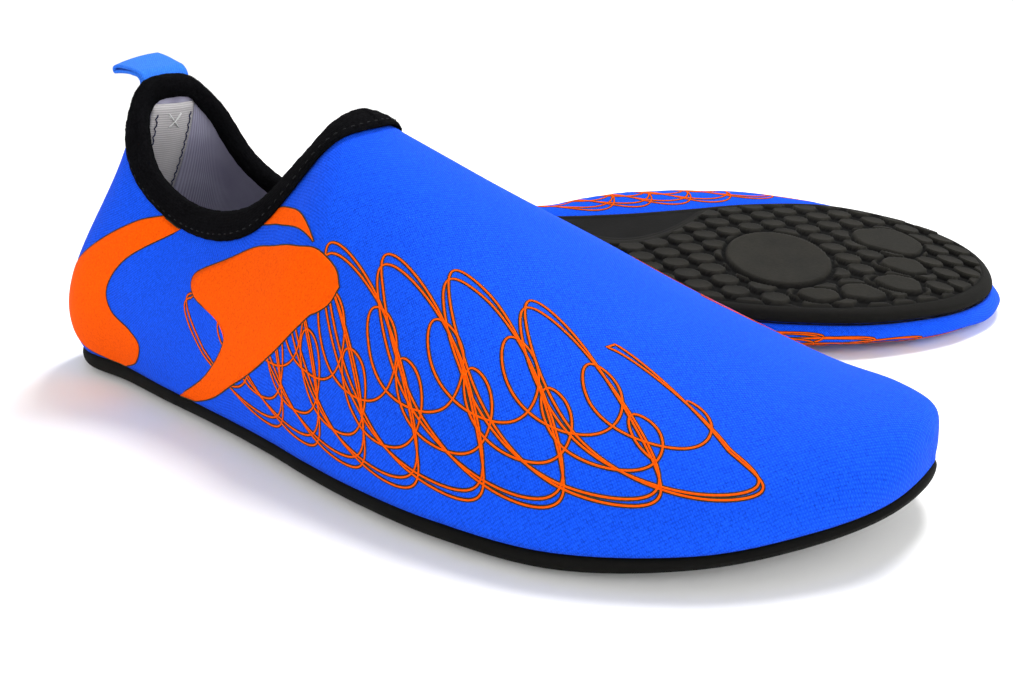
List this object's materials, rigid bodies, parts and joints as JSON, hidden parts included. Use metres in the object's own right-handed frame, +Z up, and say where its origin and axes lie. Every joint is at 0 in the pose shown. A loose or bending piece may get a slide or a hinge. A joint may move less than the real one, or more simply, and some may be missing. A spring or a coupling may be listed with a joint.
{
  "type": "neoprene water shoes",
  "caption": "Low slip-on neoprene water shoes with a bound collar, heel pull tab and textured rubber sole, one standing and one lying upside down with its upper squashed flat.",
  "frame": {"origin": "on the floor under the middle of the pair's bounding box", "axes": "+Z up; +X along the pair's longest extent, the way the upside-down shoe's toe points; the standing shoe's toe points 34.5 degrees to the -Y side of +X"},
  "size_m": [0.3288, 0.2516, 0.1023],
  "materials": {
    "rubber": "matt moulded, fine grain",
    "board_felt": "stitched fibre board",
    "insole_foam": "matt foam with cloth cover",
    "blue_knit": "stretch knit over thin foam, printed",
    "grey_jersey": "soft jersey",
    "tape_grey": "flat seam tape",
    "black_elastic": "ribbed elastic tape",
    "blue_tape": "folded knit strap",
    "navy_thread": "polyester thread",
    "black_thread": "polyester thread",
    "blue_thread": "polyester thread",
    "white_thread": "polyester thread"
  },
  "bodies": {
    "right_shoe": {"right_outsole": "rubber", "right_strobel_board": "board_felt", "right_insole": "insole_foam", "right_upper": "blue_knit", "right_lining": "grey_jersey", "right_heel_tape": "tape_grey", "right_heel_tape_stitch_lateral": "navy_thread", "right_heel_tape_stitch_medial": "navy_thread", "right_collar_binding": "black_elastic", "right_binding_stitching": "black_thread", "right_tab_bartack": "white_thread", "right_heel_seam_stitching": "blue_thread", "right_strobel_stitching": "blue_thread"},
    "right_tab": {"right_pull_tab": "blue_tape"},
    "left_shoe": {"left_outsole": "rubber", "left_strobel_board": "board_felt", "left_insole": "insole_foam", "left_upper": "blue_knit", "left_lining": "grey_jersey", "left_heel_tape": "tape_grey", "left_heel_tape_stitch_lateral": "navy_thread", "left_heel_tape_stitch_medial": "navy_thread", "left_collar_binding": "black_elastic", "left_binding_stitching": "black_thread", "left_tab_bartack": "white_thread", "left_heel_seam_stitching": "blue_thread", "left_strobel_stitching": "blue_thread"},
    "left_tab": {"left_pull_tab": "blue_tape"}
  },
  "joints": [
    {"name": "right_tab_bend", "type": "hinge", "parent": "right_shoe", "child": "right_tab", "pos_m": [-0.1242, 0.0163, 0.0938], "axis": [0.5664, 0.8241, 0], "range_deg": [-70, 55], "stiffness_Nm_per_rad": 0.002},
    {"name": "left_shoe_place", "type": "slide", "parent": "right_shoe", "child": "left_shoe", "axis": [0, 1, 0], "range_m": [0, 0.12]},
    {"name": "left_tab_bend", "type": "hinge", "parent": "left_shoe", "child": "left_tab", "pos_m": [-0.06083, 0.07585, 0.00148], "axis": [-0.0994, -0.995, 0], "range_deg": [0, 50], "stiffness_Nm_per_rad": 0.002}
  ]
}
